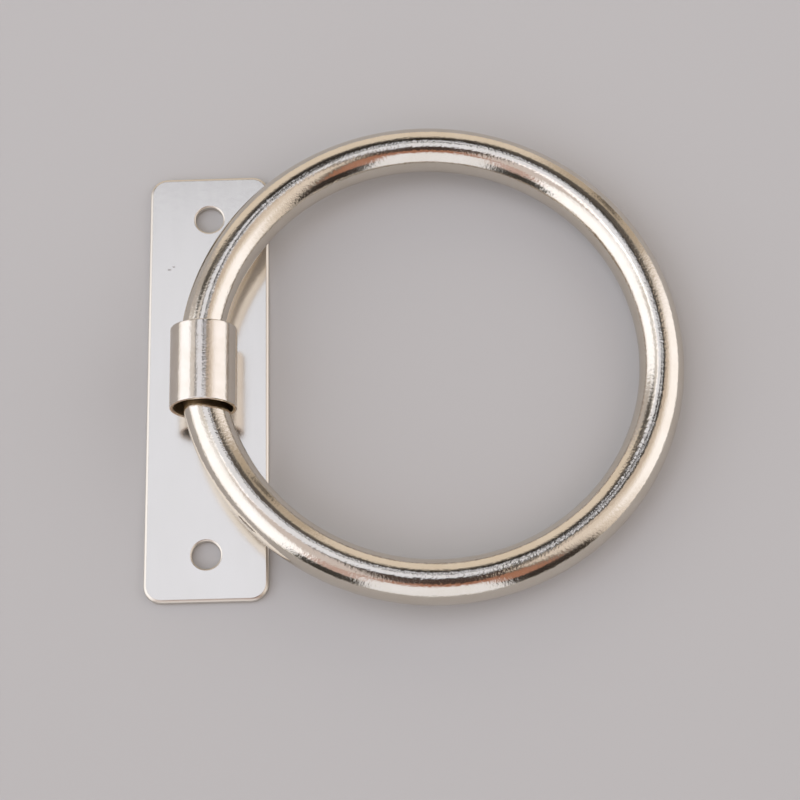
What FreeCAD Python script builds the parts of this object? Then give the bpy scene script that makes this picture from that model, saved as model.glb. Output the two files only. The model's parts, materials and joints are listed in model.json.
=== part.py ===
import FreeCAD, Part
import math
import os

import Sketcher

# Ring pull handle: a stamped back plate, a strap rolled round the bar and staked into the
# plate, and a ring bent from round bar that swings in the strap.
# Frame: origin at the middle of the plate's back face, +Z out of the plate, +Y along the
# plate, +X towards the side where the ring lies. Millimetres, and degrees for the skew.

SIZES = {
    # Back plate
    "plate_length": 72.0,
    "plate_width": 19.5,
    "plate_thickness": 1.2,
    "plate_corner": 2.8,
    "plate_edge_round": 0.45,
    "screw_hole_dia": 4.5,
    "screw_hole_spacing": 57.0,
    "screw_hole_rim": 0.2,
    # Strap: a sleeve over a short neck of two legs, with a narrower tab through the plate
    "strap_length": 13.2,
    "strap_sheet": 0.6,
    "strap_bore_dia": 9.4,
    "strap_bend": 0.5,
    "strap_seam": 0.16,
    "strap_edge_break": 0.15,
    "neck_height": 0.9,
    "tab_length": 10.0,
    "tab_clearance": 0.04,
    "stake_depth": 0.55,
    "stake_spread": 0.45,
    # Ring: the bar lies a little low in the bore, and the ring a little askew in its play
    "ring_outer_dia": 80.0,
    "bar_dia": 7.1,
    "bar_drop": 0.4,
    "ring_skew": 2.4,
}

DERIVED = {
    "bore_height": "Sizes.plate_thickness + Sizes.neck_height + Sizes.strap_sheet + Sizes.strap_bore_dia / 2",
    "leg_outside": "Sizes.strap_seam / 2 + Sizes.strap_sheet",
    "slot_half_width": "Derived.leg_outside + Sizes.tab_clearance",
    "slot_length": "Sizes.tab_length + 2 * Sizes.tab_clearance",
    # The hinge axis runs along Y at this height, through the bar
    "axis_height": "Derived.bore_height - Sizes.bar_drop",
    "ring_radius": "(Sizes.ring_outer_dia - Sizes.bar_dia) / 2",
    # The skewed ring's centre lies off the plate's middle line, and the bar bows across the bore
    "ring_offset": "Derived.ring_radius * sin(Sizes.ring_skew)",
    "bow_half_chord": "Sizes.strap_length / 2 + abs(Derived.ring_offset)",
    "bar_bow": "Derived.ring_radius - sqrt(Derived.ring_radius ^ 2 - Derived.bow_half_chord ^ 2)",
    # Half the bow falls on each side of the axis, and the far side of the ring lies on Z = 0
    "ring_reach": "Derived.ring_radius - Derived.bar_bow / 2",
    "ring_drop": "Derived.axis_height - Sizes.bar_dia / 2",
    "ring_tilt": "asin(Derived.ring_drop / (Derived.ring_reach + Derived.ring_radius))",
    "ring_centre_x": "Derived.ring_reach * cos(Derived.ring_tilt)",
    "ring_centre_z": "Derived.axis_height - Derived.ring_reach * sin(Derived.ring_tilt)",
}

# A sketch's own numbers for its root point and axes, and for the points of an edge
ROOT, AXIS_H, AXIS_V = -1, -1, -2
START, END, CENTRE = range(1, 4)
NEAR = 1e-4


def make_sheet(doc, name, cells):
    """A sheet of named cells, one a row."""
    sheet = doc.addObject("Spreadsheet::Sheet", name)
    for row, (alias, value) in enumerate(cells.items(), 1):
        sheet.set(f"A{row}", alias)
        sheet.setAlias(f"B{row}", alias)
        sheet.set(f"B{row}", str(value))
    return sheet


def make_body(doc, name):
    """A sub-part, whose label names its file."""
    body = doc.addObject("PartDesign::Body", name)
    body.Label = name
    return body


def sketch_on(body, name, role):
    """An empty sketch on one of the body's own origin planes."""
    sketch = body.newObject("Sketcher::SketchObject", name)
    plane = next(feature for feature in body.Origin.OriginFeatures if feature.Role == role)
    sketch.AttachmentSupport = [(plane, "")]
    sketch.MapMode = "FlatFace"
    return sketch


def dimension(sketch, expression, *constraint):
    """A driving dimension tied to the sheets."""
    index = sketch.addConstraint(Sketcher.Constraint(*constraint))
    sketch.setExpression(f"Constraints[{index}]", expression)


def relate(sketch, *constraint):
    """A relation with no size."""
    sketch.addConstraint(Sketcher.Constraint(*constraint))


def add_line(sketch, start, end):
    """A straight edge, upright or level if its ends are."""
    line = sketch.addGeometry(Part.LineSegment(FreeCAD.Vector(*start), FreeCAD.Vector(*end)))
    if abs(start[0] - end[0]) < NEAR:
        relate(sketch, "Vertical", line)
    elif abs(start[1] - end[1]) < NEAR:
        relate(sketch, "Horizontal", line)
    return line


def add_arc(sketch, centre, radius, first, last):
    """An arc, counterclockwise from the first angle to the last."""
    circle = Part.Circle(FreeCAD.Vector(*centre), FreeCAD.Vector(0, 0, 1), radius)
    return sketch.addGeometry(Part.ArcOfCircle(circle, first, last))


def add_outline(sketch, points):
    """A closed run of straight edges, each starting where the one before it ends."""
    ends = points[1:] + points[:1]
    lines = [add_line(sketch, start, end) for start, end in zip(points, ends)]
    for line, following in zip(lines, lines[1:] + lines[:1]):
        relate(sketch, "Coincident", line, END, following, START)
    return lines


def extrude(body, kind, name, sketch, length, symmetric):
    """A Pad or Pocket of the sketch, to a length from the sheets."""
    feature = body.newObject(f"PartDesign::{kind}", name)
    feature.Profile = sketch
    feature.SideType = "Symmetric" if symmetric else "One side"
    feature.setExpression("Length", length)
    return feature


def dress_edges(body, kind, name, base, size, wanted):
    """A Fillet or Chamfer of every edge of the base feature that the test picks."""
    body.Document.recompute()
    edges = [f"Edge{number}" for number, edge in enumerate(base.Shape.Edges, 1) if wanted(edge)]
    dressed = body.newObject(f"PartDesign::{kind}", name)
    dressed.Base = (base, edges)
    dressed.setExpression({"Fillet": "Radius", "Chamfer": "Size"}[kind], size)
    return dressed


def lies_in(edge, axis, value):
    """True if the whole edge lies in the plane where that coordinate has that value."""
    box = edge.BoundBox
    low, high = {"y": (box.YMin, box.YMax), "z": (box.ZMin, box.ZMax)}[axis]
    return abs(low - value) < NEAR and abs(high - value) < NEAR


def is_upright(edge):
    """True for an edge along Z."""
    box = edge.BoundBox
    return box.XLength < NEAR and box.YLength < NEAR


def is_circle(edge):
    """True for a whole circle."""
    return isinstance(edge.Curve, Part.Circle) and edge.isClosed()


def make_back_plate(doc, sizes, derived):
    """Flat stamping with round corners, a rolled front edge, two screw holes and the tab's slot."""
    body = make_body(doc, "back_plate")
    front = sizes.plate_thickness
    half_x = sizes.plate_width / 2
    half_y = sizes.plate_length / 2

    outline = sketch_on(body, "plate_outline", "XY_Plane")
    corners = [(-half_x, -half_y), (half_x, -half_y), (half_x, half_y), (-half_x, half_y)]
    bottom, right, _, _ = add_outline(outline, corners)
    relate(outline, "Symmetric", bottom, START, right, END, ROOT, START)
    dimension(outline, "Sizes.plate_width", "DistanceX", bottom, START, bottom, END, 2 * half_x)
    dimension(outline, "Sizes.plate_length", "DistanceY", right, START, right, END, 2 * half_y)
    blank = extrude(body, "Pad", "plate_blank", outline, "Sizes.plate_thickness", False)
    cornered = dress_edges(body, "Fillet", "plate_corners", blank, "Sizes.plate_corner", is_upright)
    dress_edges(
        body, "Fillet", "plate_rolled_edge", cornered, "Sizes.plate_edge_round",
        lambda edge: lies_in(edge, "z", front),
    )

    holes = sketch_on(body, "screw_holes", "XY_Plane")
    half_spacing = sizes.screw_hole_spacing / 2
    radius = sizes.screw_hole_dia / 2
    pair = []
    for side in (-1, 1):
        centre = FreeCAD.Vector(0, side * half_spacing, 0)
        pair.append(holes.addGeometry(Part.Circle(centre, FreeCAD.Vector(0, 0, 1), radius)))
        dimension(holes, "Sizes.screw_hole_dia", "Diameter", pair[-1], 2 * radius)
    relate(holes, "PointOnObject", pair[0], CENTRE, AXIS_V)
    relate(holes, "Symmetric", pair[0], CENTRE, pair[1], CENTRE, ROOT, START)
    dimension(
        holes, "Sizes.screw_hole_spacing", "DistanceY", pair[0], CENTRE, pair[1], CENTRE, 2 * half_spacing
    )
    punched = extrude(body, "Pocket", "screw_hole_punch", holes, "2 * Sizes.plate_thickness", True)
    dress_edges(
        body, "Chamfer", "screw_hole_rims", punched, "Sizes.screw_hole_rim",
        lambda edge: is_circle(edge) and lies_in(edge, "z", front),
    )

    # Across the plate the slot is straight at the front and flares to the back for the staking
    slot = sketch_on(body, "tab_slot", "XZ_Plane")
    half = derived.slot_half_width
    flared = half + sizes.stake_spread
    depth = sizes.stake_depth
    section = [(half, front), (half, depth), (flared, 0), (-flared, 0), (-half, depth), (-half, front)]
    right, right_flare, back, left_flare, left, top = add_outline(slot, section)
    relate(slot, "PointOnObject", back, START, AXIS_H)
    relate(slot, "Symmetric", right, END, left, START, AXIS_V)
    relate(slot, "Equal", right_flare, left_flare)
    dimension(slot, "2 * Derived.slot_half_width", "DistanceX", top, START, top, END, 2 * half)
    dimension(slot, "Sizes.plate_thickness", "DistanceY", ROOT, START, right, START, front)
    dimension(slot, "Sizes.stake_depth", "DistanceY", right_flare, END, right_flare, START, depth)
    dimension(
        slot, "Sizes.stake_spread", "DistanceX", right_flare, START, right_flare, END, flared - half
    )
    extrude(body, "Pocket", "tab_slot_punch", slot, "Derived.slot_length", True)
    return body


def sleeve_profile(sketch, sizes, derived):
    """One strip seen from its end: round the bore, reverse bends at the neck, two legs to the plate."""
    top = derived.bore_height
    foot = sizes.plate_thickness
    inner = sizes.strap_bore_dia / 2
    outer = inner + sizes.strap_sheet
    inside = sizes.strap_seam / 2
    outside = derived.leg_outside
    bend = sizes.strap_bend
    wide_bend = bend + sizes.strap_sheet
    bend_x = outside + bend
    bend_z = top - math.sqrt((outer + bend) ** 2 - bend_x ** 2)
    fork = math.atan2(bend_z - top, bend_x)

    wall_out = add_arc(sketch, (0, top), outer, fork, math.pi - fork)
    wall_in = add_arc(sketch, (0, top), inner, fork, math.pi - fork)
    relate(sketch, "PointOnObject", wall_out, CENTRE, AXIS_V)
    relate(sketch, "Coincident", wall_in, CENTRE, wall_out, CENTRE)
    dimension(sketch, "Derived.bore_height", "DistanceY", ROOT, START, wall_out, CENTRE, top)
    dimension(sketch, "Sizes.strap_bore_dia / 2", "Radius", wall_in, inner)
    dimension(sketch, "Sizes.strap_bore_dia / 2 + Sizes.strap_sheet", "Radius", wall_out, outer)

    for side in (1, -1):
        centre = (side * bend_x, bend_z)
        angles = (fork + math.pi, math.pi) if side > 0 else (0, -fork)
        at_wall, at_leg = (START, END) if side > 0 else (END, START)
        bend_out = add_arc(sketch, centre, bend, *angles)
        bend_in = add_arc(sketch, centre, wide_bend, *angles)
        leg_out = add_line(sketch, (side * outside, bend_z), (side * outside, foot))
        sole = add_line(sketch, (side * outside, foot), (side * inside, foot))
        leg_in = add_line(sketch, (side * inside, foot), (side * inside, bend_z))
        relate(sketch, "Tangent", wall_out, at_wall, bend_out, at_wall)
        relate(sketch, "Tangent", bend_out, at_leg, leg_out, START)
        relate(sketch, "Coincident", leg_out, END, sole, START)
        relate(sketch, "Coincident", sole, END, leg_in, START)
        relate(sketch, "Tangent", leg_in, END, bend_in, at_leg)
        relate(sketch, "Tangent", bend_in, at_wall, wall_in, at_wall)
        relate(sketch, "Coincident", bend_in, CENTRE, bend_out, CENTRE)
        dimension(sketch, "Sizes.strap_bend", "Radius", bend_out, bend)
        dimension(sketch, "Sizes.plate_thickness", "DistanceY", ROOT, START, sole, START, foot)
        seam_ends = (ROOT, START, sole, END) if side > 0 else (sole, END, ROOT, START)
        dimension(sketch, "Sizes.strap_seam / 2", "DistanceX", *seam_ends, inside)


def tab_profile(sketch, sizes, derived):
    """The two legs inside the plate, spread at the back where they are staked."""
    front = sizes.plate_thickness
    depth = sizes.stake_depth
    inside = sizes.strap_seam / 2
    outside = derived.leg_outside
    flared = outside + sizes.stake_spread
    for side in (1, -1):
        section = [(inside, front), (outside, front), (outside, depth), (flared, 0), (inside, 0)]
        top, _, flare, back, _ = add_outline(sketch, [(side * x, z) for x, z in section])
        relate(sketch, "PointOnObject", back, START, AXIS_H)
        dimension(sketch, "Sizes.plate_thickness", "DistanceY", ROOT, START, top, START, front)
        dimension(sketch, "Sizes.stake_depth", "DistanceY", flare, END, flare, START, depth)
        spans = [
            ("Sizes.strap_seam / 2", (ROOT, START), (top, START), inside),
            ("Sizes.strap_sheet", (top, START), (top, END), outside - inside),
            ("Sizes.stake_spread", (flare, START), (flare, END), flared - outside),
        ]
        for expression, near, far, value in spans:
            ends = near + far if side > 0 else far + near
            dimension(sketch, expression, "DistanceX", *ends, value)


def make_strap(doc, sizes, derived):
    """Strip of sheet rolled round the bar, its ends brought together, put through the plate and staked."""
    body = make_body(doc, "strap")
    foot = sizes.plate_thickness
    half_length = sizes.strap_length / 2

    loop = sketch_on(body, "sleeve_section", "XZ_Plane")
    sleeve_profile(loop, sizes, derived)
    sleeve = extrude(body, "Pad", "sleeve", loop, "Sizes.strap_length", True)

    def is_end_edge(edge):
        at_end = lies_in(edge, "y", half_length) or lies_in(edge, "y", -half_length)
        return at_end and not lies_in(edge, "z", foot)

    dress_edges(body, "Chamfer", "sleeve_end_breaks", sleeve, "Sizes.strap_edge_break", is_end_edge)

    legs = sketch_on(body, "tab_section", "XZ_Plane")
    tab_profile(legs, sizes, derived)
    extrude(body, "Pad", "tab", legs, "Sizes.tab_length", True)
    return body


def make_ring(doc, sizes, derived):
    """Round bar bent to a full circle, lying in the strap with its far side down."""
    body = make_body(doc, "ring")
    section = sketch_on(body, "bar_section", "XZ_Plane")
    centre = FreeCAD.Vector(derived.ring_radius, 0, 0)
    bar = section.addGeometry(Part.Circle(centre, FreeCAD.Vector(0, 0, 1), sizes.bar_dia / 2))
    relate(section, "PointOnObject", bar, CENTRE, AXIS_H)
    dimension(section, "Sizes.bar_dia", "Diameter", bar, sizes.bar_dia)
    dimension(section, "Derived.ring_radius", "DistanceX", ROOT, START, bar, CENTRE, centre.x)
    bent = body.newObject("PartDesign::Revolution", "bent_bar")
    bent.Profile = section
    bent.ReferenceAxis = (section, ["V_Axis"])
    bent.Angle = 360

    # The ring tips about Y, so that its far side comes down
    tilt = FreeCAD.Rotation(FreeCAD.Vector(0, 1, 0), derived.ring_tilt.Value)
    body.Placement = FreeCAD.Placement(FreeCAD.Vector(0, 0, 0), tilt)
    body.setExpression("Placement.Rotation.Angle", "Derived.ring_tilt")
    body.setExpression("Placement.Base.x", "Derived.ring_centre_x")
    body.setExpression("Placement.Base.y", "Derived.ring_offset")
    body.setExpression("Placement.Base.z", "Derived.ring_centre_z")
    return body


def check_document(doc, bodies):
    """Stops if a feature failed, a cut removed nothing, or a sub-part isn't one sound solid."""
    for item in doc.Objects:
        if "Invalid" in item.State or "Error" in item.State:
            raise RuntimeError(f"{item.Name} failed: {item.State}")
        if item.TypeId == "PartDesign::Pocket" and item.Shape.Volume >= item.BaseFeature.Shape.Volume:
            raise RuntimeError(f"{item.Name} cuts nothing")
        if item.TypeId == "Sketcher::SketchObject" and item.solve() != 0:
            raise RuntimeError(f"{item.Name} has clashing relations")
    for body in bodies:
        shape = body.Shape
        if shape.isNull() or not shape.isValid() or len(shape.Solids) != 1:
            raise RuntimeError(f"{body.Label} isn't one sound solid")


def main():
    doc = FreeCAD.newDocument("ring_pull_handle")
    sizes = make_sheet(doc, "Sizes", SIZES)
    doc.recompute()
    derived = make_sheet(doc, "Derived", {alias: f"={formula}" for alias, formula in DERIVED.items()})
    doc.recompute()

    bodies = [make(doc, sizes, derived) for make in (make_back_plate, make_strap, make_ring)]
    doc.recompute()
    check_document(doc, bodies)

    os.makedirs("parts", exist_ok=True)
    for body in bodies:
        body.Shape.exportStep(f"parts/{body.Label}.step")
        box = body.Shape.optimalBoundingBox(False)
        print(
            f"{body.Label}: {body.Shape.Volume:.1f} mm3, X {box.XMin:.3f} to {box.XMax:.3f}, "
            f"Y {box.YMin:.3f} to {box.YMax:.3f}, Z {box.ZMin:.3f} to {box.ZMax:.3f}"
        )
    print(f"hinge axis at Z {derived.axis_height:.4f}, ring tilt {derived.ring_tilt}")


main()
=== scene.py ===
import json
import math
import bmesh
import bpy
from mathutils import Matrix, Vector


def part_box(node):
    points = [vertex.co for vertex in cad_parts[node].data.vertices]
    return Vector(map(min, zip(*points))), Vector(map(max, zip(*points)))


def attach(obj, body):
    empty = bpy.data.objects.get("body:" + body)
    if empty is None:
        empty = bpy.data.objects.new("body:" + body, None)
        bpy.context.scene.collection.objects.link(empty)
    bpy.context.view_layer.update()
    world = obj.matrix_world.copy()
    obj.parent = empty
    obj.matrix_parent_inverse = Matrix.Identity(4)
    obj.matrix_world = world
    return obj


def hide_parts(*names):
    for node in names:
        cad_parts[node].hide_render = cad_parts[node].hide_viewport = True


# Ring pull handle: the looks of its plate, strap and ring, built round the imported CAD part.
# Sizes are in millimetres, as on the part, and MM turns them into metres for Blender.

MM = 0.001

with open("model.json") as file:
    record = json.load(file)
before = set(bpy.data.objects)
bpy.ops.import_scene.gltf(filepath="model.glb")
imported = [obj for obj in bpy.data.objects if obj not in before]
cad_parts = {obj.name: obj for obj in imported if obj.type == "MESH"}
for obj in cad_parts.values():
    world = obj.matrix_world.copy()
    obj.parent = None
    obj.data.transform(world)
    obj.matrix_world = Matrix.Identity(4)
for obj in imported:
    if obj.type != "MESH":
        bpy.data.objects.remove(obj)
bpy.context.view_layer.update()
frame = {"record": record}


def box_mm(node):
    """Lowest and highest corners of a CAD node at rest, in millimetres."""
    return [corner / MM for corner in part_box(node)]


plate_high = box_mm("back_plate")[1]
strap_high = box_mm("strap")[1]
ring_low, ring_high = box_mm("ring")
screw_holes = frame["record"]["mounts"][0]["dims"]

# The plate's corner, most of the strap's sizes and the bar's radius repeat the part's driving sizes,
# which the CAD boxes don't show. The rolls, the tab's edge and the bar's waves are this file's own.
PLATE_HALF_X, PLATE_HALF_Y, PLATE_THICK = plate_high
PLATE_CORNER = 2.8
CORNER_STEPS, EDGE_STEP = 14, 1.5
HOLE_Y = screw_holes["spacing_y_mm"] / 2
HOLE_R = screw_holes["hole_r_mm"]
HOLE_STEPS = 72
# A stamped edge rolls from the flat face to the wall in tangent arcs, as (turn in degrees, radius)
DIE_ROLL = [(15, 0.15), (20, 1.0), (55, 0.26)]
HOLE_ROLL = [(15, 0.10), (25, 0.55), (50, 0.16)]
ROLL_STEPS = 5
# A loop this far inside the roll keeps the face flat up to it
FLAT_START = 0.12
# The back edge is broken by this much. Its wear, and the wall's, is a share of the most on the roll.
BACK_BREAK = 0.06
BACK_WEAR, WALL_WEAR = 0.2, 0.4

STRAP_HALF_Y = strap_high.y
STRAP_OUTER_R = strap_high.x
STRAP_SHEET = 0.6
BORE_R = STRAP_OUTER_R - STRAP_SHEET
BORE_Z = strap_high.z - STRAP_OUTER_R
BEND_R = 0.5
SEAM_HALF = 0.08
STRAP_EDGE = 0.15
TAB_HALF_Y, TAB_EDGE, TAB_CLEARANCE = 5.0, 0.03, 0.04
STAKE_SPREAD, STAKE_DEPTH = 0.45, 0.55
BEND_STEPS, SLEEVE_STEPS, EDGE_STEPS = 12, 132, 5
# The strip's flat sides have points at these shares of its half length
STRIP_SPANS = (0.94, 0.6, 0.2, -0.2, -0.6, -0.94)

BAR_R = 3.55
RING_CENTRE = (ring_low + ring_high) / 2
RING_R = (ring_high.y - ring_low.y) / 2 - BAR_R
RING_TILT = math.asin(((ring_high.z - ring_low.z) / 2 - BAR_R) / RING_R)
RING_STEPS, BAR_STEPS = 400, 72
# The bar is uneven by a few micrometres: waves round the ring, waves round the bar, phase
BAR_UNEVEN = 0.004
BAR_WAVES = [(17, 2, 0.0), (29, -1, 1.3), (41, 0, 0.7)]

# Edges that turn by more than this are shaded sharp
SHARP_DEG = 35
# Sockets of a mix node that are used when it mixes colours
MIX_SHARE, MIX_A, MIX_B, MIX_RESULT = 0, 6, 7, 2


def make_piece(name, points, faces, **attributes):
    """Mesh object from points in millimetres, smooth but for its sharp edges, with values per point."""
    mesh = bpy.data.meshes.new(name)
    mesh.from_pydata([tuple(c * MM for c in p) for p in points], [], faces)
    mesh.validate()
    turned = bmesh.new()
    turned.from_mesh(mesh)
    bmesh.ops.recalc_face_normals(turned, faces=turned.faces)
    turned.to_mesh(mesh)
    turned.free()
    for polygon in mesh.polygons:
        polygon.use_smooth = True
    mesh.set_sharp_from_angle(angle=math.radians(SHARP_DEG))
    for key, values in attributes.items():
        vector = isinstance(values[0], tuple)
        layer = mesh.attributes.new(key, "FLOAT_VECTOR" if vector else "FLOAT", "POINT")
        flat = [c for v in values for c in v] if vector else values
        layer.data.foreach_set("vector" if vector else "value", flat)
    piece = bpy.data.objects.new(name, mesh)
    bpy.context.scene.collection.objects.link(piece)
    return piece


def bridge(first, second):
    """Quads between two closed loops of point numbers."""
    count = len(first)
    return [(first[i], first[(i + 1) % count], second[(i + 1) % count], second[i]) for i in range(count)]


def rounded_rectangle(half_x, half_y, corner):
    """Loop of (x, y) points, counted the same for every inset of one rectangle."""
    loop = []
    inner_x, inner_y = half_x - corner, half_y - corner
    centres = [(inner_x, inner_y), (-inner_x, inner_y), (-inner_x, -inner_y), (inner_x, -inner_y)]
    for k, (cx, cy) in enumerate(centres):
        for i in range(CORNER_STEPS + 1):
            turn = math.pi / 2 * (k + i / CORNER_STEPS)
            loop.append((cx + corner * math.cos(turn), cy + corner * math.sin(turn)))
        next_x, next_y = centres[(k + 1) % 4]
        side = math.pi / 2 * (k + 1)
        count = max(1, round((inner_y if k % 2 else inner_x) * 2 / EDGE_STEP))
        for i in range(1, count):
            x = cx + (next_x - cx) * i / count + corner * math.cos(side)
            y = cy + (next_y - cy) * i / count + corner * math.sin(side)
            loop.append((x, y))
    return loop


def circle_loop(cx, cy, radius):
    """Loop of (x, y) points round a circle."""
    turns = [2 * math.pi * i / HOLE_STEPS for i in range(HOLE_STEPS)]
    return [(cx + radius * math.cos(t), cy + radius * math.sin(t)) for t in turns]


def fill_flat(points, loops):
    """Triangles that fill the flat region between an outer loop and the loops inside it."""
    patch = bmesh.new()
    number = {}
    for loop in loops:
        made = []
        for index in loop:
            vert = patch.verts.new(points[index])
            number[vert] = index
            made.append(vert)
        for a, b in zip(made, made[1:] + made[:1]):
            patch.edges.new((a, b))
    bmesh.ops.triangle_fill(patch, use_beauty=True, use_dissolve=False, edges=patch.edges[:])
    faces = [tuple(number[v] for v in face.verts) for face in patch.faces]
    patch.free()
    return faces


def edge_profile(arcs):
    """A stamped edge from back to front: (inset, z, edge wear), rolled over in front."""
    tilt, reach, z = 0.0, 0.0, PLATE_THICK
    roll = [(-FLAT_START, z, 0.0), (0.0, z, 0.0)]
    for degrees, radius in arcs:
        for i in range(1, ROLL_STEPS + 1):
            turn = tilt + math.radians(degrees) * i / ROLL_STEPS
            out = reach + radius * (math.sin(turn) - math.sin(tilt))
            down = radius * (math.cos(tilt) - math.cos(turn))
            roll.append((out, z - down, math.sin(2 * turn)))
        tilt, reach, z = turn, out, z - down
    wall = [(BACK_BREAK, 0.0, BACK_WEAR), (0.0, BACK_BREAK, WALL_WEAR)]
    return wall + [(reach - out, height, worn) for out, height, worn in reversed(roll)]


def build_plate():
    """Stamped plate: drawn-over front edges, two punched holes, the strap's flared slot."""
    points, wear, faces = [], [], []
    back_loops, front_loops = [], []

    def add_loop(loop, z, worn):
        start = len(points)
        points.extend((x, y, z) for x, y in loop)
        wear.extend([worn] * len(loop))
        return list(range(start, len(points)))

    def add_wall(loops):
        for a, b in zip(loops, loops[1:]):
            faces.extend(bridge(a, b))
        back_loops.append(loops[0])
        front_loops.append(loops[-1])

    outer = []
    for inset, z, worn in edge_profile(DIE_ROLL):
        outline = rounded_rectangle(PLATE_HALF_X - inset, PLATE_HALF_Y - inset, PLATE_CORNER - inset)
        outer.append(add_loop(outline, z, worn))
    add_wall(outer)

    for side in (1, -1):
        hole = []
        for inset, z, worn in edge_profile(HOLE_ROLL):
            hole.append(add_loop(circle_loop(0, side * HOLE_Y, HOLE_R + inset), z, worn))
        add_wall(hole)

    slot = []
    slot_x = SEAM_HALF + STRAP_SHEET + TAB_CLEARANCE
    slot_y = TAB_HALF_Y + TAB_CLEARANCE
    for half_x, z in ((slot_x + STAKE_SPREAD, 0.0), (slot_x, STAKE_DEPTH), (slot_x, PLATE_THICK)):
        corners = [(half_x, slot_y), (-half_x, slot_y), (-half_x, -slot_y), (half_x, -slot_y)]
        slot.append(add_loop(corners, z, 0.0))
    add_wall(slot)

    faces += fill_flat(points, back_loops)
    faces += fill_flat(points, front_loops)
    return make_piece("plate_sheet", points, faces, edge_wear=wear)


def strap_line():
    """The strip seen from its end, tab to tab: (inner point, outer point, half length, edge)."""
    outside = SEAM_HALF + STRAP_SHEET
    bend_x = outside + BEND_R
    bend_z = BORE_Z - math.sqrt((STRAP_OUTER_R + BEND_R) ** 2 - bend_x ** 2)
    fork = math.atan2(bend_z - BORE_Z, bend_x)

    def polar(cx, cz, radius, turn):
        return (cx + radius * math.cos(turn), cz + radius * math.sin(turn))

    leg = [
        ((SEAM_HALF, 0.0), (outside + STAKE_SPREAD, 0.0), TAB_HALF_Y, TAB_EDGE),
        ((SEAM_HALF, STAKE_DEPTH), (outside, STAKE_DEPTH), TAB_HALF_Y, TAB_EDGE),
        ((SEAM_HALF, PLATE_THICK), (outside, PLATE_THICK), TAB_HALF_Y, TAB_EDGE),
        ((SEAM_HALF, PLATE_THICK), (outside, PLATE_THICK), STRAP_HALF_Y, STRAP_EDGE),
    ]
    for i in range(BEND_STEPS):
        turn = math.pi + fork * i / BEND_STEPS
        inner = polar(bend_x, bend_z, BEND_R + STRAP_SHEET, turn)
        outer = polar(bend_x, bend_z, BEND_R, turn)
        leg.append((inner, outer, STRAP_HALF_Y, STRAP_EDGE))
    sleeve = []
    for i in range(SLEEVE_STEPS + 1):
        turn = fork + (math.pi - 2 * fork) * i / SLEEVE_STEPS
        inner = polar(0, BORE_Z, BORE_R, turn)
        outer = polar(0, BORE_Z, STRAP_OUTER_R, turn)
        sleeve.append((inner, outer, STRAP_HALF_Y, STRAP_EDGE))
    other_leg = [((-a[0], a[1]), (-b[0], b[1]), half, edge) for a, b, half, edge in reversed(leg)]
    return leg + sleeve + other_leg


def strip_section(thick, half_y, edge):
    """Section of the strip, edges rounded over: (depth from the inner face, y, edge wear)."""
    section = []
    near, far, end = edge, thick - edge, half_y - edge
    for k, (depth, y) in enumerate([(far, end), (near, end), (near, -end), (far, -end)]):
        for i in range(EDGE_STEPS + 1):
            turn = math.pi / 2 * (k + i / EDGE_STEPS)
            worn = math.sin(math.pi * i / EDGE_STEPS)
            section.append((depth + edge * math.cos(turn), y + edge * math.sin(turn), worn))
        if k == 1:
            section.extend((0.0, half_y * share, 0.0) for share in STRIP_SPANS)
        if k == 3:
            section.extend((thick, -half_y * share, 0.0) for share in STRIP_SPANS)
    return section


def build_strap():
    """Strip of sheet swept along its own line, with a shoulder above each tab."""
    points, wear, inside, loops, faces = [], [], [], [], []
    for inner, outer, half_y, edge in strap_line():
        thick = math.dist(inner, outer)
        start = len(points)
        for depth, y, worn in strip_section(thick, half_y, edge):
            share = depth / thick
            x = inner[0] + (outer[0] - inner[0]) * share
            z = inner[1] + (outer[1] - inner[1]) * share
            points.append((x, y, z))
            wear.append(worn)
            inside.append(1 - share)
        loops.append(list(range(start, len(points))))
    for a, b in zip(loops, loops[1:]):
        faces += bridge(a, b)
    faces.append(tuple(loops[0]))
    faces.append(tuple(reversed(loops[-1])))
    return make_piece("strap_sleeve", points, faces, edge_wear=wear, inside=inside)


def build_ring():
    """Round bar bent to a circle, not quite even; "drawn" unrolls it for the lines along the bar."""
    axis_x = Vector((math.cos(RING_TILT), 0, -math.sin(RING_TILT)))
    axis_y = Vector((0, 1, 0))
    axis_z = axis_x.cross(axis_y)
    points, drawn, loops, faces = [], [], [], []
    for i in range(RING_STEPS):
        # The count starts inside the strap, where the drawn lines may meet
        along = 2 * math.pi * i / RING_STEPS
        out = -(math.cos(along) * axis_x + math.sin(along) * axis_y)
        spine = RING_CENTRE + RING_R * out
        start = len(points)
        for j in range(BAR_STEPS):
            turn = 2 * math.pi * j / BAR_STEPS
            waves = [math.sin(a * along + b * turn + phase) for a, b, phase in BAR_WAVES]
            radius = BAR_R - BAR_UNEVEN * (1 + sum(waves) / len(waves))
            across, up = math.sin(turn), math.cos(turn)
            points.append(tuple(spine + radius * (across * out + up * axis_z)))
            drawn.append((up * BAR_R * MM, across * BAR_R * MM, along * RING_R * MM))
        loops.append(list(range(start, len(points))))
    for a, b in zip(loops, loops[1:] + loops[:1]):
        faces += bridge(a, b)
    return make_piece("ring_bar", points, faces, drawn=drawn)


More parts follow.
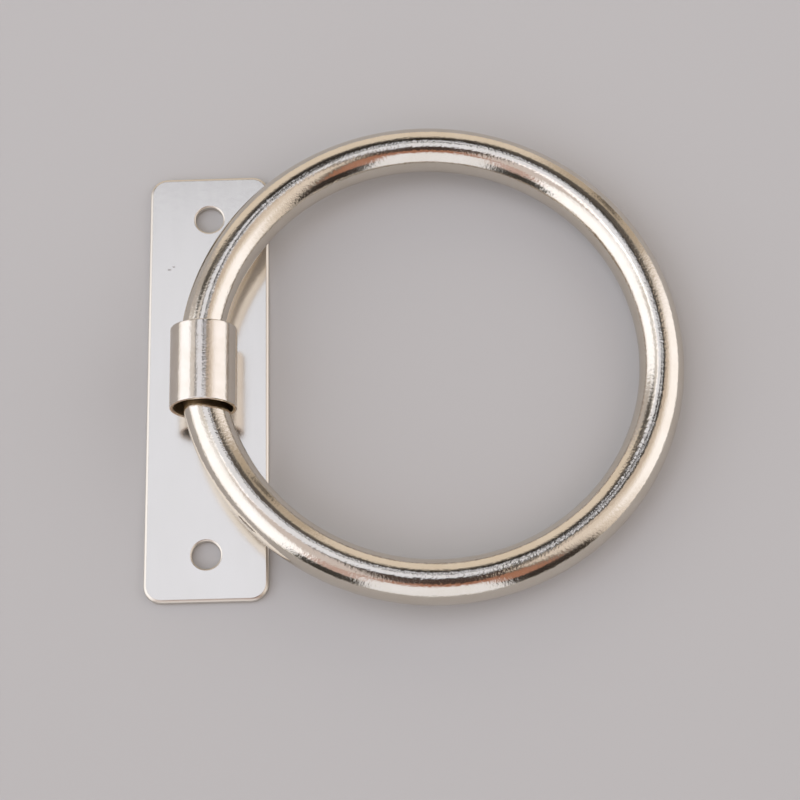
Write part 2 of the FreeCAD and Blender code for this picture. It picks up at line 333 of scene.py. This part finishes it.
class Nodes:
    """Shorthand for building a node tree, where an input is a socket to link or a value to set."""

    def __init__(self, tree):
        self.tree = tree

    def add(self, kind, inputs=None, **settings):
        node = self.tree.nodes.new(kind)
        for key, value in settings.items():
            setattr(node, key, value)
        for key, value in (inputs or {}).items():
            socket = node.inputs[key]
            if isinstance(value, bpy.types.NodeSocket):
                self.tree.links.new(value, socket)
            else:
                socket.default_value = value
        return node

    def noise(self, place, size_mm, detail, roughness):
        inputs = {"Vector": place, "Scale": 1 / (size_mm * MM), "Detail": detail, "Roughness": roughness}
        return self.add("ShaderNodeTexNoise", inputs).outputs["Fac"]

    def ramp(self, value, span, to=(0.0, 1.0)):
        """Value carried straight from one span of numbers to another, and held at its ends."""
        inputs = {"Value": value, "From Min": span[0], "From Max": span[1]}
        inputs.update({"To Min": to[0], "To Max": to[1]})
        return self.add("ShaderNodeMapRange", inputs).outputs["Result"]

    def soft_step(self, value, start, end):
        """0 before start and 1 after end, with a smooth passage; start may be the greater."""
        inputs = {"Value": value, "From Min": start, "From Max": end}
        return self.add("ShaderNodeMapRange", inputs, interpolation_type="SMOOTHSTEP").outputs["Result"]

    def math(self, operation, a, b=0.0):
        return self.add("ShaderNodeMath", {0: a, 1: b}, operation=operation).outputs[0]

    def vector(self, operation, a, b):
        return self.add("ShaderNodeVectorMath", {0: a, 1: b}, operation=operation).outputs[0]

    def blend(self, share, a, b, label=""):
        """Colour a turned into colour b by share; colours are red, green, blue or a socket."""
        node = self.add("ShaderNodeMix", data_type="RGBA", label=label)
        for key, value in ((MIX_SHARE, share), (MIX_A, a), (MIX_B, b)):
            if isinstance(value, bpy.types.NodeSocket):
                self.tree.links.new(value, node.inputs[key])
            else:
                node.inputs[key].default_value = (*value, 1)
        return node.outputs[MIX_RESULT]


def new_material(name):
    """A material, the shorthand for its node tree, and its shader."""
    material = bpy.data.materials.new(name)
    material.use_nodes = True
    tree = material.node_tree
    return material, Nodes(tree), tree.nodes["Principled BSDF"]


def metal(shader, nodes, colour, roughness, heights):
    """Finishes a metal: colour and roughness sockets, and bumps given as (height, depth in mm)."""
    shader.inputs["Metallic"].default_value = 1.0
    nodes.tree.links.new(colour, shader.inputs["Base Color"])
    nodes.tree.links.new(roughness, shader.inputs["Roughness"])
    normal = None
    for height, depth in heights:
        bump = nodes.add("ShaderNodeBump", {"Height": height, "Strength": 1.0, "Distance": depth * MM})
        if normal is not None:
            nodes.tree.links.new(normal, bump.inputs["Normal"])
        normal = bump.outputs["Normal"]
    nodes.tree.links.new(normal, shader.inputs["Normal"])


# A noise is (size, detail, roughness), and a depth is the height of its bumps. The values of a noise
# mostly lie in the two spans here, which are stretched to a pair of tints, strengths or roughnesses.
TINT_SPAN = (0.35, 0.65)
ROUGH_SPAN = (0.3, 0.7)

RING_CLOUD = (5.0, 4.0, 0.6)
RING_TINTS = ((0.665, 0.605, 0.52), (0.70, 0.645, 0.57))
RING_ROUGH = (0.08, 0.14)
PEBBLE, PEBBLE_DEPTH = (0.45, 2.0, 0.55), 0.023
PEBBLE_PATCHES, PATCH_STRENGTHS = (8.0, 2.0, 0.5), (0.6, 1.25)
DRAWN_LINES, DRAWN_DEPTH = (0.2, 2.0, 0.5), 0.004
DRAWN_STRETCH = (1.0, 1.0, 0.03)


def ring_material():
    """Bright nickel over a drawn bar: pebbly at half a millimetre, faint lines along it, clouded tint."""
    material, n, shader = new_material("ring_nickel_bright")
    place = n.add("ShaderNodeTexCoord").outputs["Object"]
    drawn = n.add("ShaderNodeAttribute", attribute_name="drawn").outputs["Vector"]
    patchy = n.ramp(n.noise(place, *PEBBLE_PATCHES), TINT_SPAN, PATCH_STRENGTHS)
    pebble = n.math("MULTIPLY", n.noise(place, *PEBBLE), patchy)
    lines = n.noise(n.vector("MULTIPLY", drawn, DRAWN_STRETCH), *DRAWN_LINES)
    cloud = n.noise(place, *RING_CLOUD)
    tint = n.blend(n.ramp(cloud, TINT_SPAN), *RING_TINTS)
    rough = n.ramp(cloud, ROUGH_SPAN, RING_ROUGH)
    metal(shader, n, tint, rough, [(pebble, PEBBLE_DEPTH), (lines, DRAWN_DEPTH)])
    return material


STRAP_CLOUD = (3.0, 4.0, 0.6)
STRAP_TINTS = ((0.65, 0.585, 0.505), (0.69, 0.63, 0.56))
STRAP_ROUGH = (0.12, 0.17)
GRAIN, GRAIN_DEPTH = (0.5, 2.0, 0.55), 0.018
ROLLED_LINES, ROLLED_DEPTH = (0.25, 2.0, 0.5), 0.005
ROLLED_STRETCH = (1.0, 0.06, 1.0)
# The bore's tan is a painted reflection of the bar, laid on the strip's inner face as colour; the bore is
# also made rougher
BORE_PAINTED_REFLECTION, BORE_ROUGHER = (0.70, 0.55, 0.36), 0.2
CHIPS, CHIP_SPAN = (0.5, 3.0, 0.5), (0.45, 0.6)
CHIP_TINT = (0.80, 0.77, 0.72)


def strap_material():
    """Satin-bright nickel on rolled sheet: fine grain, faint lines, paler worn edges, and the bore tinted
    tan as a painted reflection of the bar.
    """
    material, n, shader = new_material("strap_nickel_satin")
    place = n.add("ShaderNodeTexCoord").outputs["Object"]
    wear = n.add("ShaderNodeAttribute", attribute_name="edge_wear").outputs["Fac"]
    inside = n.add("ShaderNodeAttribute", attribute_name="inside").outputs["Fac"]
    grain = n.noise(place, *GRAIN)
    lines = n.noise(n.vector("MULTIPLY", place, ROLLED_STRETCH), *ROLLED_LINES)
    cloud = n.noise(place, *STRAP_CLOUD)
    tint = n.blend(n.ramp(cloud, TINT_SPAN), *STRAP_TINTS)
    # Painted reflection: the inner face is tinted tan in place of the bar's reflection inside the bore
    tint = n.blend(inside, tint, BORE_PAINTED_REFLECTION)
    chipped = n.math("MULTIPLY", wear, n.ramp(n.noise(place, *CHIPS), CHIP_SPAN))
    colour = n.blend(chipped, tint, CHIP_TINT)
    rough = n.ramp(cloud, ROUGH_SPAN, STRAP_ROUGH)
    rough = n.math("ADD", rough, n.math("MULTIPLY", inside, BORE_ROUGHER))
    metal(shader, n, colour, rough, [(grain, GRAIN_DEPTH), (lines, ROLLED_DEPTH)])
    return material


PLATE_CLOUD = (9.0, 3.0, 0.5)
PLATE_TINTS = ((0.695, 0.652, 0.588), (0.725, 0.682, 0.62))
PLATE_ROUGH = (0.16, 0.20)
RIPPLE, RIPPLE_DEPTH = (1.1, 2.0, 0.5), 0.006
STREAKS, STREAK_DEPTH, STREAK_ROUGHER = (0.8, 2.0, 0.5), 0.0005, 0.012
STREAK_STRETCH = (1.0, 0.08, 1.0)
RIM_TINT, RIM_SPAN = (0.72, 0.66, 0.57), (0.2, 1.0)
WORN_ROUGHER = 0.2
# Two faint scuffs on the plate, as (x, y, half length, half width), full within a share of their size
SCUFFS = [(-6.45, 19.75, 0.5, 0.24), (-5.75, 20.25, 0.34, 0.22)]
SCUFF_FULL = 0.2
SCUFF_TINT = (0.56, 0.525, 0.48)


def plate_material():
    """Hazed nickel on flat sheet: slight ripple and rolling streaks, two scuffs, duller worn rims."""
    material, n, shader = new_material("plate_nickel_hazed")
    place = n.add("ShaderNodeTexCoord").outputs["Object"]
    wear = n.add("ShaderNodeAttribute", attribute_name="edge_wear").outputs["Fac"]
    ripple = n.noise(place, *RIPPLE)
    streaks = n.noise(n.vector("MULTIPLY", place, STREAK_STRETCH), *STREAKS)
    cloud = n.noise(place, *PLATE_CLOUD)
    worn = n.ramp(wear, RIM_SPAN)
    tint = n.blend(n.ramp(cloud, TINT_SPAN), *PLATE_TINTS)
    tint = n.blend(worn, tint, RIM_TINT)
    scuffed = 0.0
    for x, y, half_length, half_width in SCUFFS:
        away = n.vector("SUBTRACT", place, (x * MM, y * MM, PLATE_THICK * MM))
        away = n.vector("DIVIDE", away, (half_length * MM, half_width * MM, MM))
        reach = n.add("ShaderNodeVectorMath", {0: away}, operation="LENGTH").outputs["Value"]
        scuffed = n.math("MAXIMUM", n.soft_step(reach, 1.0, SCUFF_FULL), scuffed)
    colour = n.blend(scuffed, tint, SCUFF_TINT)
    rough = n.ramp(cloud, ROUGH_SPAN, PLATE_ROUGH)
    rough = n.math("ADD", rough, n.ramp(streaks, ROUGH_SPAN, (0.0, STREAK_ROUGHER)))
    rough = n.math("ADD", rough, n.math("MULTIPLY", n.math("MAXIMUM", scuffed, worn), WORN_ROUGHER))
    metal(shader, n, colour, rough, [(ripple, RIPPLE_DEPTH), (streaks, STREAK_DEPTH)])
    return material


def dress(piece, material, body, node):
    """Gives a piece its material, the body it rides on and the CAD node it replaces."""
    piece.data.materials.append(material)
    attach(piece, body)
    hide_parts(node)


dress(build_plate(), plate_material(), "base", "back_plate")
dress(build_strap(), strap_material(), "base", "strap")
dress(build_ring(), ring_material(), "pull", "ring")

FLOOR_HALF, FLOOR_Z = 4000.0, -0.01
FLOOR_COLOUR = (0.58, 0.573, 0.565, 1)
FLOOR_ROUGH, FLOOR_SPECULAR = 0.9, 0.2


def build_floor():
    """Plain pale floor, a hair below the plate's back."""
    half, z = FLOOR_HALF, FLOOR_Z
    corners = [(-half, -half, z), (half, -half, z), (half, half, z), (-half, half, z)]
    floor = make_piece("floor", corners, [(0, 1, 2, 3)])
    material, _, shader = new_material("floor_pale")
    shader.inputs["Base Color"].default_value = FLOOR_COLOUR
    shader.inputs["Roughness"].default_value = FLOOR_ROUGH
    shader.inputs["Specular IOR Level"].default_value = FLOOR_SPECULAR
    floor.data.materials.append(material)


# The studio as the part sees it. A wall or softbox spans an azimuth, counted from +X to +Y, and a range
# of angles from straight up, in degrees: (azimuth, half width, soft, from, to, soft, colour).
# Each is laid over the ones before it.
WALLS = {
    "left wall": (188, 44, 10, 60, 110, 12, (0.96, 0.90, 0.85)),
    "left softbox, upper part": (188, 44, 10, 8, 66, 12, (1.28, 1.29, 1.36)),
    "left softbox": (188, 42, 10, 38, 84, 22, (1.60, 1.63, 1.76)),
    "far left wall": (136, 14, 8, 62, 110, 10, (0.60, 0.56, 0.54)),
    "right wall": (5, 41, 18, 14, 110, 10, (0.97, 0.87, 0.79)),
    "right softbox": (9, 28, 20, 42, 98, 26, (1.48, 1.46, 1.52)),
    "far wall": (97, 36, 6, 50, 120, 12, (0.94, 0.835, 0.72)),
    "far left corner": (132, 7, 6, 42, 61, 10, (0.12, 0.11, 0.10)),
    "far right wall": (55, 12, 6, 52, 120, 10, (0.60, 0.51, 0.41)),
    "far right corner": (54, 2.5, 2, 60, 120, 10, (0.15, 0.13, 0.11)),
    "near screen": (280, 36, 8, 24, 58, 8, (0.50, 0.25, 0.17)),
    "near screen, left end": (240, 10, 8, 18, 60, 8, (0.68, 0.50, 0.46)),
    "near softbox": (272, 23, 5, 38, 104, 6, (1.10, 1.12, 1.21)),
    "near right stand": (311, 13, 6, 58, 110, 10, (0.05, 0.04, 0.035)),
    "near left stand": (237, 11, 6, 62, 110, 10, (0.06, 0.055, 0.05)),
}
# Overhead are flat pieces, as (from X, to X, from Y, to Y, soft, colour) one unit above the part
CEILING = {
    "right ceiling": (0.27, 0.58, 0.08, 0.42, 0.05, (0.78, 0.67, 0.58)),
    "far ceiling": (-0.60, 0.52, 0.52, 1.02, 0.08, (0.13, 0.115, 0.105)),
    "lamp's surround": (-0.30, 0.22, -0.04, 0.98, 0.05, (0.045, 0.04, 0.037)),
    "camera": (-0.07, 0.26, -0.48, 0.02, 0.08, (0.08, 0.055, 0.048)),
    "near left ceiling": (-0.52, -0.10, -0.60, 0.05, 0.10, (0.82, 0.75, 0.75)),
    "left screen": (-0.86, -0.42, 0.14, 0.68, 0.14, (0.92, 0.89, 0.89)),
}
# A direction's rise is held above this, so that nothing near the horizon is divided by zero
LEAST_RISE = 0.05
DARK_ROOM = (0.12, 0.11, 0.10)
# Further from straight up than this, in degrees, the world is pale as the floor is
HORIZON, HORIZON_SOFT = 88, 4
PALE_RIM = (0.60, 0.58, 0.55)


def studio_world():
    """World colour by direction: walls, then flat pieces overhead, then the horizon, with soft edges."""
    world = bpy.data.worlds.new("studio")
    bpy.context.scene.world = world
    world.use_nodes = True
    n = Nodes(world.node_tree)
    direction = n.add("ShaderNodeTexCoord").outputs["Generated"]
    axes = n.add("ShaderNodeSeparateXYZ", {0: direction}).outputs
    degrees = math.degrees(1)
    fall = n.math("MULTIPLY", n.math("ARCCOSINE", axes["Z"]), degrees)
    azimuth = n.math("MULTIPLY", n.math("ARCTAN2", axes["Y"], axes["X"]), degrees)

    def band(value, start, end, soft):
        """1 from start to end and 0 outside, with soft passages."""
        rise = n.soft_step(value, start - soft / 2, start + soft / 2)
        drop = n.soft_step(value, end + soft / 2, end - soft / 2)
        return n.math("MULTIPLY", rise, drop)

    colour = DARK_ROOM
    for name, (centre, half, soft, start, end, end_soft, tone) in WALLS.items():
        turned = n.math("FLOORED_MODULO", n.math("SUBTRACT", azimuth, centre + 180.0), 360.0)
        swing = n.math("ABSOLUTE", n.math("SUBTRACT", turned, 180.0))
        width = n.soft_step(swing, half + soft / 2, half - soft / 2)
        mask = n.math("MULTIPLY", width, band(fall, start, end, end_soft))
        colour = n.blend(mask, colour, tone, name)
    above = n.math("MAXIMUM", axes["Z"], LEAST_RISE)
    across = n.math("DIVIDE", axes["X"], above)
    ahead = n.math("DIVIDE", axes["Y"], above)
    for name, (x0, x1, y0, y1, soft, tone) in CEILING.items():
        mask = n.math("MULTIPLY", band(across, x0, x1, soft), band(ahead, y0, y1, soft))
        colour = n.blend(mask, colour, tone, name)
    below = n.soft_step(fall, HORIZON - HORIZON_SOFT / 2, HORIZON + HORIZON_SOFT / 2)
    colour = n.blend(below, colour, PALE_RIM, "horizon")
    world.node_tree.links.new(colour, world.node_tree.nodes["Background"].inputs["Color"])


# The lamp overhead is three panels round a dark gap, each (from x, to x, from y, to y)
LAMP_PANELS = [(-144, 110, -8, 160), (-144, 10, 160, 276), (62, 104, 182, 276)]
LAMP_HEIGHT = 450
LAMP_RADIANCE = 1.07
LAMP_COLOUR = (0.95, 1.0, 1.14)


def overhead_lamp():
    """Panels that shine straight down, mirrored in the metal and not seen by the camera itself."""
    for number, span in enumerate(LAMP_PANELS, 1):
        x0, x1, y0, y1 = [c * MM for c in span]
        name = f"overhead_lamp_{number}"
        data = bpy.data.lights.new(name, "AREA")
        data.shape = "RECTANGLE"
        data.size, data.size_y = x1 - x0, y1 - y0
        data.energy = LAMP_RADIANCE * math.pi * data.size * data.size_y
        data.color = LAMP_COLOUR
        panel = bpy.data.objects.new(name, data)
        panel.location = ((x0 + x1) / 2, (y0 + y1) / 2, LAMP_HEIGHT * MM)
        panel.visible_camera = False
        bpy.context.scene.collection.objects.link(panel)


# The photo's camera, from a fit to the plate's edges, the holes and the ring's outlines
CAMERA_PLACE = Vector((36.44, -117.173, 324.257))
CAMERA_AIM = Vector((30.668, -3.408, 0.0))
CAMERA_ROLL_DEG = -4.309
CAMERA_LENS, CAMERA_SENSOR = 96.75, 36.0
CAMERA_CLIP_M = (0.01, 50.0)


def build_camera():
    """Camera at its place, turned to its aim and then rolled."""
    data = bpy.data.cameras.new("camera")
    data.sensor_fit = "HORIZONTAL"
    data.sensor_width = CAMERA_SENSOR
    data.lens = CAMERA_LENS
    data.clip_start, data.clip_end = CAMERA_CLIP_M
    camera = bpy.data.objects.new("camera", data)
    level = (CAMERA_AIM - CAMERA_PLACE).to_track_quat("-Z", "Y").to_matrix()
    turn = level @ Matrix.Rotation(math.radians(CAMERA_ROLL_DEG), 3, "Z")
    camera.matrix_world = Matrix.Translation(CAMERA_PLACE * MM) @ turn.to_4x4()
    bpy.context.scene.collection.objects.link(camera)
    bpy.context.scene.camera = camera


build_floor()
studio_world()
overhead_lamp()
build_camera()
bpy.context.scene.view_settings.view_transform = "Standard"
